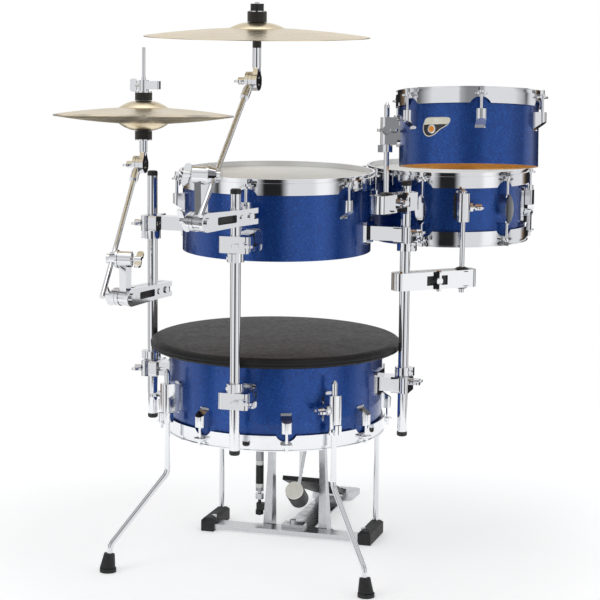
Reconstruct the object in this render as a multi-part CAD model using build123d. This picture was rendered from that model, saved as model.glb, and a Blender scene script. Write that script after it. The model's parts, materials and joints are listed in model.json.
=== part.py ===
from build123d import *
from math import sin, cos, radians, hypot
import os

# Compact stand-up drum kit, millimetres, +Z up. The bass drum's axis is x=0, y=0 and the floor is z=0
# while the pieces are made; SHIFT then moves the bottom centre of the whole kit to the origin.

# drums (16 x 6 bass, 14 x 5.5 floor tom, 10 x 5 tom, 12 x 5 snare)
R_BASS, BASS_Z = 203.2, (250.6, 403.0)
R_FLOOR, FLOOR_Z = 177.8, (585.0, 724.7)
R_TOM, H_TOM = 127.0, 126.0
R_SNARE, SNARE_Z = 152.4, (601.0, 722.0)
WALL = 5.6                       # shell thickness
PAD_R, PAD_TOP, BOARD_R = 238.0, 420.0, 230.0

# stand
LEG_R, LEG_AT, LEG_TOP = 5.25, 228.0, 366.0
POST_R, POST_AT, POST_Z = 9.525, 250.0, (250.0, 715.0)
POSTS = [180.0, 270.0, 0.0]      # left, front, right
ROD_R = 4.76
RUN = 0.05                       # running clearance on a radius

# pedal
AXLE_Y, AXLE_Z = 130.0, 215.0
PEDAL_X, BEATER_X = 7.0, 32.0
BEATER_L, BEATER_REST = 146.0, 36.0
SPROCKET_R = 24.0
HEEL_Y, HEEL_Z, BOARD_TILT = 390.0, 20.0, 20.0

# tom and its rod
TOM_C = Vector(364.0, 5.0, 817.0)
TOM_AXIS = Vector(-0.039, 0.1335, 0.990).normalized()
TOM_ROD_AT, TOM_ROD_ANG = 150.0, 196.3
# snare and its rod
SNARE_C = Vector(275.0, 245.0, 0.0)
SNARE_ROD = Vector(341.0, 81.0, 0.0)
STRAINER_ANG = 355.3

# crash cymbal and its arm
CRASH_C, CRASH_R, CRASH_Z = Vector(4.0, -145.0, 0.0), 203.2, 987.0
CRASH_DIR = Vector(-0.35, -0.937, 0).normalized()
CRASH_PIVOT = Vector(0, -250, 673) + CRASH_DIR * 96
CRASH_ARM_H = 85.0
CRASH_PIN = Vector(4.0, -145.0, 908.0)
CRASH_BACK = Vector(-7.8, -338.0, 757.0)     # the boom rod's centre line over the arm

# hi-hat and its arm
HAT_AXIS = Vector(-0.0196, 0.067, 0.9976).normalized()
HAT_SEAM, HAT_R = Vector(-312.0, 116.0, 819.7), 177.8
HAT_DIR = Vector(-0.22, -0.9755, 0).normalized()
HAT_PIVOT = Vector(-250, 0, 491) + HAT_DIR * 94.5
HAT_ARM_H = 75.0
HAT_PIN = HAT_SEAM - HAT_AXIS * 96
HAT_LOW, HAT_TOP = Vector(-284.8, -177.0, 515.0), Vector(-320.7, 99.0, 680.0)

MID = (Align.CENTER, Align.CENTER, Align.CENTER)
UP = (Align.CENTER, Align.CENTER, Align.MIN)


def at(p, z=(0, 0, 1), x=None):
    return Plane(origin=p, x_dir=x, z_dir=z) if x is not None else Plane(origin=p, z_dir=z)


def rod(a, b, r):
    a, b = Vector(a), Vector(b)
    return at(a, b - a) * Cylinder(r, (b - a).length, align=UP)


def box(x0, x1, y0, y1, z0, z1):
    return Pos((x0 + x1) / 2, (y0 + y1) / 2, (z0 + z1) / 2) * Box(x1 - x0, y1 - y0, z1 - z0)


def ring(ro, ri, z0, z1):
    return Pos(0, 0, z0) * (Cylinder(ro, z1 - z0, align=UP) - Cylinder(ri, z1 - z0, align=UP))


def turned(pts):
    line = Polyline(*[(r, 0, z) for r, z in pts], close=True)
    return revolve(make_face(line.edges()), Axis.Z)


def soft(s, r, axis=Axis.Z):
    try:
        return fillet(s.edges().filter_by(axis), r)
    except Exception:
        return s


def polar(r, a, z=0.0):
    return Vector(r * cos(radians(a)), r * sin(radians(a)), z)


def wing(p, d, stem, span=38.0, flip=0.0):
    """Two-wing bolt: its shank starts at p and runs out along d; the wings stand across it."""
    f = at(p, d)
    s = Cylinder(3.4, stem, align=UP)
    s += Pos(0, 0, stem) * Cylinder(6.5, 13, align=UP)
    w = Pos(0, 0, stem + 8.5) * Box(span, 4.5, 13)
    w = soft(w, 5, Axis.Y)
    w -= Pos(0, 0, stem + 17) * Rot(90, 0, 0) * Cylinder(6.0, 20)
    s += Rot(0, 0, flip) * w
    return f * s


def lock(r, z0, h=16.0, out=11.0):
    """Memory lock about a vertical rod at the origin: split ring with a key screw on its ears."""
    s = Cylinder(r + 6.0, h, align=UP)
    s += box(0, r + out, -6.5, 6.5, 0, h)
    s -= Cylinder(r + RUN, h, align=UP)
    s -= box(0, 60, -0.8, 0.8, -1, h + 1)
    s = Pos(0, 0, z0) * s
    key = Pos(r + out - 4.5, 0, z0 + h / 2) * Rot(90, 0, 0) * Cylinder(3.2, 4.5, align=UP)
    return [s, Pos(0, -6.5, 0) * key]


# ------------------------------------------------------------------ drums
def shell(r, z0, z1):
    return turned([(r - WALL, z0 + 2.5), (r - WALL + 2.5, z0), (r, z0), (r, z1),
                   (r - WALL + 2.5, z1), (r - WALL, z1 - 2.5)])


def head(r, z, up):
    """Film over the bearing edge and its flesh ring, just outside the shell."""
    pts = [(0, 0.6), (r + 4.6, 0.6), (r + 4.6, -8), (r + 0.5, -8), (r + 0.5, 0), (0, 0)]
    return turned([(a, z + up * b) for a, b in pts])


def hoop(r, z, up, angles):
    """Pressed steel hoop: skirt round the flesh ring, step on it, rim with a turned-out lip, ears."""
    pts = [(5, -19), (7, -19), (7, 2.7), (3.8, 2.7), (3.8, 8.4), (6.6, 8.4), (6.6, 10.3),
           (1.8, 10.3), (1.8, 0.8), (5, 0.8)]
    s = turned([(r + a, z + up * b) for a, b in pts])
    for a in angles:
        s -= Rot(0, 0, a) * Pos(r + 6, 0, z - up * 28.5) * Rot(0, 90, 0) * Cylinder(21, 12)
        ear = soft(box(r + 6, r + 23, -11, 11, -5, -2), 7.5)
        ear += box(r + 5.5, r + 12, -11, 11, -5, -2)
        ear -= Pos(r + 14, 0, -6) * Cylinder(3.2, 8, align=UP)
        ear = Rot(0, 0, a) * (ear if up > 0 else mirror(ear, Plane.XY))
        s += Pos(0, 0, z) * ear
    return s


def tension(r, z, up, depth):
    """Tension rod with its square head and washer, up out of a lug and through the hoop's ear."""
    s = Cylinder(2.75, depth + 1, align=UP)
    s = Pos(r + 14, 0, -depth) * s
    s += Pos(r + 14, 0, -1.98) * Cylinder(6.0, 1.6, align=UP)
    s += Pos(r + 14, 0, -0.4) * Cylinder(5.2, 2.6, align=UP)
    s += Pos(r + 14, 0, 2.2) * Box(6.2, 6.2, 7.5, align=UP)
    return Pos(0, 0, z) * (s if up > 0 else mirror(s, Plane.XY))


def lug(r, z0, z1, w, up):
    """Single lug: rounded casting whose bored nose takes the tension rod."""
    h = z1 - z0
    s = soft(box(r - 4, r + 21, -w / 2, w / 2, 0, h), 7.5)
    s += box(r - 4, r + 10, -w / 2, w / 2, 0, h)
    s -= Pos(r + 21, 0, -2) * Rot(0, -32, 0) * Box(30, 40, 30)
    s -= Cylinder(r, h, align=UP)
    s -= Pos(r + 14, 0, h - 16) * Cylinder(3.0, 20, align=UP)
    s = s if up > 0 else Pos(0, 0, h) * mirror(s, Plane.XY)
    return Pos(0, 0, z0) * s


def bridge_lug(r, zc, w, h):
    """Double-ended lens-shaped lug."""
    f = Pos(0, 0, zc)
    s = Pos(r + 8, 0, 0) * Rot(0, 90, 0) * extrude(
        make_face([ThreePointArc((-h / 2, 0), (0, w / 2), (h / 2, 0)),
                   ThreePointArc((h / 2, 0), (0, -w / 2), (-h / 2, 0))]), 26, both=True)
    s = s & Cylinder(r + 21.0, h + 4)
    s += Pos(r + 14, 0, 0) * Cylinder(5.2, h - 6)
    s -= Cylinder(r, h + 10)
    for k in (-1, 1):
        s -= Pos(r + 14, 0, k * (h / 2 - 8)) * Cylinder(3.0, 20)
    return f * s


def spin(s, angles):
    return [Rot(0, 0, a) * s for a in angles]


# --------------------------------------------------------------- brackets
def post_bracket(r, z, a, plate_h, arm_w):
    """Plate on the shell, arm out to the post, hinged jaw across it, wing bolt on one side."""
    px = POST_AT
    s = soft(box(r - 5, r + 4.5, -28, 28, -plate_h / 2, plate_h / 2), 8, Axis.X)
    s += box(r, px - 16, -arm_w / 2, arm_w / 2, -13, 13)
    s += soft(box(px - 17, px - 0.8, -28, 28, -15, 15), 5, Axis.X)
    s -= Cylinder(r, 90)
    s -= Pos(px, 0, 0) * Cylinder(POST_R + RUN, 90)
    s -= Pos(px, 20, 0) * Rot(0, 90, 0) * Cylinder(3.45, 60)
    jaw = soft(box(px + 0.8, px + 15, -28, 28, -15, 15), 6, Axis.Z)
    jaw -= Pos(px, 0, 0) * Cylinder(POST_R + RUN, 90)
    jaw -= Pos(px, 20, 0) * Rot(0, 90, 0) * Cylinder(3.45, 60)
    jaw += Pos(px, -22, 0) * Cylinder(4, 30) - box(0, px + 0.8, -60, 60, -20, 20)
    bolt = wing((px - 16, 20, 0), (1, 0, 0), 31.2, 40, 90)
    f = Rot(0, 0, a) * Pos(0, 0, z)
    return [f * s, f * jaw], [f * bolt]


def leg_bracket(z, a):
    """Oval casting on the bass shell with a bored block for a leg and a T-wing bolt on its side."""
    s = soft(box(R_BASS - 5, R_BASS + 4.5, -14, 14, -30, 30), 12, Axis.X)
    s += soft(box(R_BASS, LEG_AT + 12, -12, 12, -27, 27), 9, Axis.Z)
    s += box(R_BASS, R_BASS + 12, -12, 12, -27, 27)
    s += Pos(LEG_AT, -12, 0) * Rot(90, 0, 0) * Cylinder(9.5, 7, align=UP)
    s -= Cylinder(R_BASS, 90)
    s -= Pos(LEG_AT, 0, 0) * Cylinder(LEG_R + RUN, 90)
    s -= Pos(LEG_AT, -5, 0) * Rot(90, 0, 0) * Cylinder(3.45, 40, align=UP)
    bolt = wing((LEG_AT, -LEG_R - 0.5, 0), (0, -1, 0), 17.5, 42, 90)
    f = Rot(0, 0, a) * Pos(0, 0, z)
    return [f * s], [f * bolt]


def rod_bracket(r, at_r, zc, h, side):
    """Drum-side bracket for a plain rod parallel to the drum's axis; wing bolt on one side."""
    s = soft(box(r - 5, r + 4.5, -15, 15, -h / 2 - 4, h / 2 + 4), 13, Axis.X)
    s += soft(box(r, at_r + 11.5, -12, 12, -h / 2, h / 2), 9, Axis.Z)
    s += box(r, r + 12, -12, 12, -h / 2, h / 2)
    s += Pos(at_r, side * 12, 0) * Rot(-side * 90, 0, 0) * Cylinder(9.0, 6, align=UP)
    s -= Cylinder(r, 120)
    s -= Pos(at_r, 0, 0) * Cylinder(ROD_R + RUN, 120)
    s -= Pos(at_r, 0, 0) * Rot(-side * 90, 0, 0) * Cylinder(3.45, 40, align=UP)
    bolt = wing((at_r, side * (ROD_R + 0.5), 0), (0, side, 0), 16.5, 38, 90)
    return [Pos(0, 0, zc) * s, Pos(0, 0, zc) * bolt]


def bar_clamp(p, q, h, ext_p, ext_q, r_q, z_q=(0, 0, 1), half=16.0):
    """Two-part clamp: bores for a post at p and a rod at q, split along the line between them."""
    p, q = Vector(p), Vector(q)
    d = Vector(q.X - p.X, q.Y - p.Y, 0)
    length, d = d.length, d.normalized()
    s = box(-ext_p, length + ext_q, -half, half, -h / 2, h / 2)
    s = soft(s, 11)
    mid = length / 2
    s -= box(-ext_p - 5, length + ext_q + 5, -0.9, 0.9, -h, h)
    s -= Cylinder(POST_R + RUN, h + 20)
    s -= Pos(mid, 0, 0) * Rot(90, 0, 0) * Cylinder(3.45, 80)
    for k in (-1, 1):
        s -= box(mid - 22, mid + 22, k * half - 3.2, k * half + 3.2, -9, 9)
    f = at(p, (0, 0, 1), d)
    s = f * s
    s -= at(q, z_q) * Cylinder(r_q + RUN, h + 40)
    n = Vector(-d.Y, d.X, 0)
    c = p + d * mid
    return s.solids(), n, c


def fit_bolt(c, n, half, side, span=40):
    """Through bolt: round head on one face of a clamp, wing nut on the other."""
    n = n * side
    head_ = at(c - n * (half - 3.1), -1 * n) * Cylinder(6.5, 5, align=UP)
    return [head_ + wing(c - n * (half - 3.1), n, 2 * half - 6.1, span, 90)]


def arm_clamp(post, d, z, reach, h_arm, back, side, m):
    """Post clamp with a fork at its end, and the ratchet arm that stands in the fork."""
    half = 15.5
    piv = Vector(post[0], post[1], z) + d * reach
    s = box(-back, reach, -half, half, -14.5, 14.5)
    s += loft([Plane.YZ.offset(10) * Rectangle(2 * half, 29), Plane.YZ.offset(reach) * Rectangle(2 * half, 34)])
    s += Pos(reach, 0, 0) * Rot(90, 0, 0) * Cylinder(17, 2 * half)
    s -= box(-back - 5, reach - 30, -0.9, 0.9, -40, 40)
    s -= Cylinder(POST_R + RUN, 60)
    s -= box(reach - 24, reach + 40, -8.3, 8.3, -40, 40)
    s -= Pos(reach, 0, 0) * Rot(90, 0, 0) * Cylinder(4.05, 80)
    s -= Pos(-24, 0, 0) * Rot(90, 0, 0) * Cylinder(3.45, 80)
    for k in (-1, 1):
        s -= soft(box(16, reach - 27, k * half - 4.5, k * half + 4.5, -7, 7), 3, Axis.Y)
        s -= box(-back - 1, -back + 12, k * half - 4.5, k * half + 4.5, -5, 5)
    f = at((post[0], post[1], z), (0, 0, 1), d)
    clamp = (f * s).solids()
    bolt = Pos(-24, 0, 0) * Rot(90, 0, 0) * Cylinder(3.4, 2 * half)
    for k in (-1, 1):
        bolt += Pos(-24, k * half, 0) * Rot(-k * 90, 0, 0) * Cylinder(6.5, 3, align=UP)
        clamp += (f * (Pos(0, k * half, 0) * Rot(-k * 90, 0, 0) * Cylinder(5.5, 2.2, align=UP))).solids()
    clamp += (f * bolt).solids()
    eye = Rot(90, 0, 0) * Cylinder(16, 16)
    for k in range(12):
        eye -= Rot(0, 30 * k, 0) * Pos(0, 0, 16) * Rot(90, 0, 0) * Cylinder(1.4, 30)
    arm = eye + loft([Plane.XY.offset(8) * Rectangle(17.5, 15), Plane.XY.offset(h_arm) * Rectangle(21, 15)])
    arm += Rot(90, 0, 0) * Cylinder(4.0, 2 * half)
    arm += Pos(0, -side * half, 0) * Rot(side * 90, 0, 0) * Cylinder(8.5, 4, align=UP)
    arm += Pos(0, side * (half + .6), 0) * Rot(-side * 90, 0, 0) * Cylinder(17, 7, align=UP)
    arm += Pos(0, side * half, 0) * Rot(-side * 90, 0, 0) * Cylinder(13, 14, align=UP)
    arm = at(piv, (0, 0, 1), d) * arm
    n = Vector(-d.Y, d.X, 0) * side
    arm += wing(piv + n * (half + 13), n, 3, 46, 60)
    top = piv + Vector(0, 0, h_arm)
    arm += at(top - m * 13, m) * Cylinder(15, 26, align=UP)
    arm -= at(top - m * 14, m) * Cylinder(5.05, 28, align=UP)
    return clamp, arm, piv, top


def holder(top, m, off, rdir, pt):
    """Cone-shaped collar beside the arm's barrel, holding the boom rod; its pin runs through the barrel."""
    s = at(top + m * 13.3, m) * Cylinder(17.5, 4, align=UP)
    s += at(top + m * 16, m) * Cone(16, 12.5, off - 16 + 4, align=UP)
    s += at(top + m * (off + 3), m) * Cylinder(9.5, 8, align=UP)
    s -= at(pt - rdir * 60, rdir) * Cylinder(ROD_R + RUN, 120, align=UP)
    s += at(top - m * 13.3, m) * Cylinder(5.0, 28, align=UP)
    s += wing(top - m * 13.2, -1 * m, 5, 42, 35)
    return s


def knuckle(p, axis, low_dir, neck):
    """Ratchet knuckle beside the tilter's plate, with its neck and the ferrule that takes the boom rod."""
    x = Vector(axis)
    c = p - x * 11.8
    s = at(c - x * 7, x) * Cylinder(17, 14, align=UP)
    s -= at(c - x * 0.5, x) * (Cylinder(20, 1, align=UP) - Cylinder(15.8, 1, align=UP))
    s += rod(c, c + low_dir * (neck - 4), 6.6)
    s += rod(c + low_dir * (neck - 22), c + low_dir * neck, 8.2)
    s -= at(p - x * 4.7, x) * Cylinder(19, 14, align=UP)
    s -= at(c - x * 8, x) * Cylinder(3.55, 16, align=UP)
    return s


def tilter(p, up, axis, stem_top):
    """Oval tilter plate on the stem's axis, its pin and wing bolt through the knuckle, and the stem's foot."""
    x = Vector(axis)
    f = Plane(origin=p, x_dir=x, z_dir=up)
    s = at(p - x * 4.5, x) * Cylinder(17, 9, align=UP)
    s += f * loft([Rectangle(9, 33.4), Plane.XY.offset(24) * Rectangle(9, 14)])
    s += f * (Pos(0, 0, 17) * Cone(5, 7.6, 8, align=UP)) + f * (Pos(0, 0, 25) * Cylinder(7.6, stem_top - 25, align=UP))
    s -= at(p + x * 1.5, x) * Cylinder(8, 5, align=UP)
    s += at(p + x * 1.4, x) * Cylinder(5, 2.4, align=UP)
    s += at(p - x * 19.2, x) * Cylinder(3.5, 16, align=UP)
    s += wing(p - x * 19.1, -1 * x, 2, 47, 90)
    return s


def cymbal(r, bow, bell_r, bell_h, t, hole):
    """Thin bronze shell: shallow bow, raised bell, centre hole. z=0 is the edge's underside."""
    def arcs(dz):
        m1 = (r + bell_r) / 2
        a = ThreePointArc((r, 0, dz), (m1, 0, bow * 0.62 + dz), (bell_r, 0, bow + dz))
        b = ThreePointArc((bell_r, 0, bow + dz), (bell_r * 0.62, 0, bow + bell_h * 0.72 + dz),
                          (hole, 0, bow + bell_h + dz))
        return a, b
    a0, b0 = arcs(0)
    a1, b1 = arcs(t)
    e = [a0, b0, a1, b1, Line((r, 0, 0), (r, 0, t)),
         Line((hole, 0, bow + bell_h), (hole, 0, bow + bell_h + t))]
    return revolve(make_face(e), Axis.Z)


def disc(r, z0, z1, hole=0.0):
    s = Pos(0, 0, z0) * Cylinder(r, z1 - z0, align=UP)
    return s - Pos(0, 0, z0) * Cylinder(hole, z1 - z0, align=UP) if hole else s


N = {}      # node name -> list of solids


def add(name, *shapes):
    for s in shapes:
        for q in (s if isinstance(s, (list, tuple)) else [s]):
            N.setdefault(name, []).extend(q.solids())


# ------------------------------------------------------------- base, legs
TIPS = []
for a in (225.0, 315.0):
    line = [polar(LEG_AT, a, LEG_TOP), polar(LEG_AT, a, 175), polar(344, a, 50), polar(350, a, 8)]
    path = FilletPolyline(*line, radius=22)
    f = Plane(origin=path @ 0, z_dir=path % 0)
    leg = sweep(f * Circle(LEG_R), path)
    leg += Pos(*tuple(line[0])) * Cone(LEG_R, 2.0, 6, align=UP)
    add("legs", leg)
    d = (line[3] - line[2]).normalized()
    foot = at(line[3] - d * 26, d)
    tip = foot * (Cone(10, 14.5, 28, align=UP)) - leg
    tip += Pos(line[3].X + 1, line[3].Y + (-1), 0) * Cylinder(15.5, 7, align=UP) - leg
    tip -= box(-900, 900, -900, 900, -50, 0)
    TIPS.append(tip)
for a in (45.0, 135.0):
    p = polar(LEG_AT, a)
    add("legs", Pos(p.X, p.Y, 10) * Cylinder(LEG_R, LEG_TOP - 10, align=UP)
        + Pos(p.X, p.Y, LEG_TOP) * Cone(LEG_R, 2.0, 6, align=UP))
    s = box(p.X - 13, p.X + 13, 70, 173.5, 0, 27)
    s = chamfer(s.edges().group_by(Axis.Z)[-1], 5)
    s -= Pos(p.X, p.Y, 10) * Cylinder(LEG_R, 40, align=UP)
    s -= box(-(abs(p.X) - 1), abs(p.X) - 1, 75.9, 112.1, 3.9, 14.1)
    add("feet", s)
b = box(-159.9, 159.9, 76, 112, 4, 14)
for x in (-154, 154):
    b += Pos(x, 94, 14) * Cylinder(4.5, 14.6, align=UP)
blocks = N["feet"]
N["feet"] = []
for s in blocks:
    for x in (-154, 154):
        s = s - Pos(x, 94, 14) * Cylinder(4.5, 20, align=UP)
    N["feet"].extend(s.solids())
add("feet", TIPS)
add("base_bar", b)

# ------------------------------------------------------------------ pedal
s = soft(box(-58, 79, 113, 150, 0, 5), 8)
s += box(PEDAL_X - 30, PEDAL_X + 30, 140, 400, 0, 4)
s += soft(box(PEDAL_X - 44, PEDAL_X + 44, 386, 470, 0, 9), 12)
for x in (-34, 26):
    s += box(PEDAL_X + x, PEDAL_X + x + 8, HEEL_Y - 7, HEEL_Y + 7, 4, 27)
s += Pos(PEDAL_X - 34, HEEL_Y, HEEL_Z) * Rot(0, 90, 0) * Cylinder(3.0, 68, align=UP)
s += box(PEDAL_X - 22, PEDAL_X + 22, 96, 124, 14.1, 21)
s += box(PEDAL_X - 22, PEDAL_X + 22, 112.2, 124, 0, 21)
s += Pos(PEDAL_X, 103, 21) * Cylinder(6, 9, align=UP)
add("pedal_base", s)

for x0, x1 in ((-50.0, -44.0), (65.0, 58.0)):
    s = loft([Plane(origin=(x0, 132, 5)) * Rectangle(18, 34),
              Plane(origin=(x0 + (x1 - x0) * 0.55, 131, 120)) * Rectangle(12, 19),
              Plane(origin=(x1, AXLE_Y, AXLE_Z - 4)) * Rectangle(12, 17)], ruled=True)
    s += Pos(x1 - 6, AXLE_Y, AXLE_Z) * Rot(0, 90, 0) * Cylinder(12, 12, align=UP)
    s -= Pos(x1 - 20, AXLE_Y, AXLE_Z) * Rot(0, 90, 0) * Cylinder(4.0 + RUN, 40, align=UP)
    if x0 < 0:
        s += box(-76, x0, 124, 136, 38, 52)
        s += Pos(-71, 130, 26) * Cylinder(3.2, 50, align=UP)
        s += Pos(-71, 130, 60) * Cylinder(8.5, 11, align=UP)
        s += Pos(-71, 130, 28) * Cylinder(8.0, 9, align=UP)
    add("pedal_uprights", s)
s = Pos(-71, 130, 76) * (Cylinder(8.0, 104, align=UP) - Cylinder(4.5, 90, align=UP))
s += Pos(-71, 130, 180) * Cylinder(2.0, 32, align=UP)
add("pedal_spring", s)

AX = (0, AXLE_Y, AXLE_Z)
s = Pos(-64, AXLE_Y, AXLE_Z) * Rot(0, 90, 0) * Cylinder(4.0, 130, align=UP)
s += Pos(PEDAL_X - 4, AXLE_Y, AXLE_Z) * Rot(0, 90, 0) * Cylinder(SPROCKET_R + 2, 8, align=UP)
s += Pos(PEDAL_X - 8, AXLE_Y, AXLE_Z) * Rot(0, 90, 0) * Cylinder(11, 16, align=UP)
s += soft(box(-68, -58, AXLE_Y - 19, AXLE_Y + 8, AXLE_Z - 7, AXLE_Z + 7), 4, Axis.X)
s += Pos(-78, AXLE_Y - 14, AXLE_Z) * Rot(0, 90, 0) * Cylinder(2.0, 14, align=UP)
s += Pos(BEATER_X - 9, AXLE_Y, AXLE_Z) * Rot(0, 90, 0) * Cylinder(11.5, 18, align=UP)
bd = Vector(0, -sin(radians(BEATER_REST)), -cos(radians(BEATER_REST)))
bn = Vector(0, -cos(radians(BEATER_REST)), sin(radians(BEATER_REST)))
hub = Vector(BEATER_X, AXLE_Y, AXLE_Z)
bc = hub + bd * BEATER_L
s += rod(hub - bd * 16, bc + bd * 4, 3.2)
add("beater_axle", s)
s = at(bc - bn * 24, bn) * Cylinder(18.5, 44, align=UP)
s = fillet(s.edges(), 3)
add("beater_head", s - rod(hub, bc + bd * 4, 3.2))
add("beater_face", at(bc + bn * 20, bn) * Cylinder(17.5, 5, align=UP))

t = Vector(0, -cos(radians(BOARD_TILT)), sin(radians(BOARD_TILT)))
f = Plane(origin=(PEDAL_X, HEEL_Y, HEEL_Z), x_dir=(1, 0, 0), z_dir=t)
s = extrude(f * (Pos(0, -4) * Rectangle(56, 8)), 60) + extrude(f * (Pos(0, -4) * Rectangle(50, 8)), 10)
s = loft([f.offset(14) * (Pos(0, -4.5) * Rectangle(60, 9)),
          f.offset(150) * (Pos(0, -4.5) * Rectangle(90, 9)),
          f.offset(244) * (Pos(0, -4.5) * Rectangle(78, 9))], ruled=True)
s += Pos(PEDAL_X - 25.5, HEEL_Y, HEEL_Z) * Rot(0, 90, 0) * Cylinder(6.5, 51, align=UP)
s += extrude(f * (Pos(0, -3.5) * Rectangle(50, 7)), 20)
s -= Pos(PEDAL_X - 40, HEEL_Y, HEEL_Z) * Rot(0, 90, 0) * Cylinder(3.0 + RUN, 80, align=UP)
add("footboard", s)
cy = AXLE_Y + SPROCKET_R
cz = HEEL_Z + (HEEL_Y - cy) * 0.364 + 6
add("pedal_chain", box(PEDAL_X - 3.5, PEDAL_X + 3.5, cy + 2.3, cy + 7.3, cz, AXLE_Z))

# ------------------------------------------------------------------- bass
z0, z1 = BASS_Z
A8 = [22.5 + 45 * k for k in range(8)]
add("bass_shell", shell(R_BASS, z0, z1))
add("bass_head", head(R_BASS, z0, -1))
add("bass_hoop", hoop(R_BASS, z0, -1, A8))
add("bass_lugs", spin(lug(R_BASS, 276, 311, 20, -1), A8), spin(tension(R_BASS, z0, -1, 38), A8))
for a in POSTS:
    b, w = post_bracket(R_BASS, 342, a, 46, 40)
    add("bass_brackets", b)
    add("bass_bolts", w, Rot(0, 0, a) * Pos(POST_AT, 0, 0) * Compound(children=lock(POST_R, 357.5)))
for a in (45.0, 135.0, 225.0, 315.0):
    b, w = leg_bracket(318, a)
    add("bass_brackets", b)
    add("bass_bolts", w, Rot(0, 0, a) * Pos(LEG_AT, 0, 0) * Compound(children=lock(LEG_R, 272, 18.5)))
add("pad_board", disc(BOARD_R, z1, 412))
add("pad_cover", turned([(0, 412.2), (BOARD_R + .3, 412.2), (BOARD_R + .3, z1), (218, z1), (214, 400),
                         (217, 397.5), (228, 397), (235, 400), (PAD_R, 405), (PAD_R + .5, 411),
                         (PAD_R - 2, 416.5), (PAD_R - 7, 419.2), (PAD_R - 16, PAD_TOP), (0, PAD_TOP)]))

# ------------------------------------------------------- rack, floor tom
for a in POSTS:
    p = polar(POST_AT, a)
    add("posts", Pos(p.X, p.Y, 0) * ring(POST_R, POST_R - 1.8, *POST_Z))
    for z, k in ((POST_Z[1], 1), (POST_Z[0], -1)):
        c = Cylinder(POST_R + .4, 9, align=UP) + Pos(0, 0, -14) * Cylinder(POST_R - 1.9, 16, align=UP)
        c = chamfer(c.edges().group_by(Axis.Z)[-1], 2)
        c = c if k > 0 else mirror(c, Plane.XY)
        add("post_caps", Pos(p.X, p.Y, z) * c)
z0, z1 = FLOOR_Z
A6 = [30 + 60 * k for k in range(6)]
add("floor_tom_shell", shell(R_FLOOR, z0, z1))
add("floor_tom_head", head(R_FLOOR, z1, 1))
add("floor_tom_hoop", hoop(R_FLOOR, z1, 1, A6))
add("floor_tom_lugs", spin(lug(R_FLOOR, 659, 694, 18.5, 1), A6), spin(tension(R_FLOOR, z1, 1, 46), A6))
for a in POSTS:
    b, w = post_bracket(R_FLOOR, 625, a, 42, 26)
    add("floor_tom_brackets", b)
    add("rack_bolts", w, Rot(0, 0, a) * Pos(POST_AT, 0, 0) * Compound(children=lock(POST_R, 593.5)))

RP = Vector(POST_AT, 0, 0)                 # right post

# ------------------------------------------------------------ tom on rod
TX = (Vector(1, 0, 0) - TOM_AXIS * TOM_AXIS.X).normalized()
TF = Plane(origin=TOM_C, x_dir=TX, z_dir=TOM_AXIS)
AT = [290.3 + 60 * k for k in range(6)]
h = H_TOM / 2
add("tom_shell", TF * shell(R_TOM, -h, h))
add("tom_head", TF * head(R_TOM, h, 1))
add("tom_hoop", TF * hoop(R_TOM, h, 1, AT))
add("tom_lugs", [TF * s for s in spin(lug(R_TOM, 0, 33, 18.5, 1), AT) + spin(tension(R_TOM, h, 1, 46), AT)])
rb = rod_bracket(R_TOM, TOM_ROD_AT, 0, 50, 1)
add("tom_bracket", [TF * (Rot(0, 0, TOM_ROD_ANG) * s) for s in rb])
add("tom_bracket", [TF * (Rot(0, 0, TOM_ROD_ANG) * (Pos(TOM_ROD_AT, 0, 0) * s)) for s in lock(ROD_R, -38.5, 13)])
rp = TF.from_local_coords(polar(TOM_ROD_AT, TOM_ROD_ANG))
tip, foot = rp + TOM_AXIS * 48, rp - TOM_AXIS * 150
TOM_ROD_P = rp
add("tom_arm", rod(foot, tip, ROD_R) + at(tip, TOM_AXIS) * Cone(ROD_R, 1.5, 5, align=UP))
tc = 686.0
q = rp + TOM_AXIS * ((tc - rp.Z) / TOM_AXIS.Z)
cl, n, c = bar_clamp((POST_AT, 0, tc), q, 33, 24, 35, ROD_R, TOM_AXIS)
add("tom_clamp", cl, fit_bolt(c, n, 16, 1))

# ---------------------------------------------------------- snare on rod
z0, z1 = SNARE_Z
SF = Pos(SNARE_C.X, SNARE_C.Y, 0)
AS = [265.3 + 60 * k for k in range(6)]
add("snare_shell", SF * shell(R_SNARE, z0, z1))
add("snare_heads", SF * head(R_SNARE, z1, 1), SF * head(R_SNARE, z0, -1))
add("snare_hoops", SF * hoop(R_SNARE, z1, 1, AS), SF * hoop(R_SNARE, z0, -1, AS))
zc = (z0 + z1) / 2
add("snare_lugs", [SF * s for s in spin(bridge_lug(R_SNARE, zc, 22, 58), AS)
                   + spin(tension(R_SNARE, z1, 1, 46), AS) + spin(tension(R_SNARE, z0, -1, 46), AS)])
dv = SNARE_ROD - SNARE_C
s_at, s_ang = hypot(dv.X, dv.Y), Vector(1, 0, 0).get_signed_angle(dv, Vector(0, 0, 1))
add("snare_bracket", [SF * (Rot(0, 0, s_ang) * s) for s in rod_bracket(R_SNARE, s_at, zc + 8, 54, 1)])
rz = 700.0
add("snare_arm", rod((SNARE_ROD.X, SNARE_ROD.Y, 508), (SNARE_ROD.X, SNARE_ROD.Y, rz), ROD_R)
    + Pos(SNARE_ROD.X, SNARE_ROD.Y, rz) * Cone(ROD_R, 1.5, 5, align=UP))
cl, n, c = bar_clamp((POST_AT, 0, 536), (SNARE_ROD.X, SNARE_ROD.Y, 536), 33, 24, 26, ROD_R)
add("snare_clamp", cl, fit_bolt(c, n, 16, -1))
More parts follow.
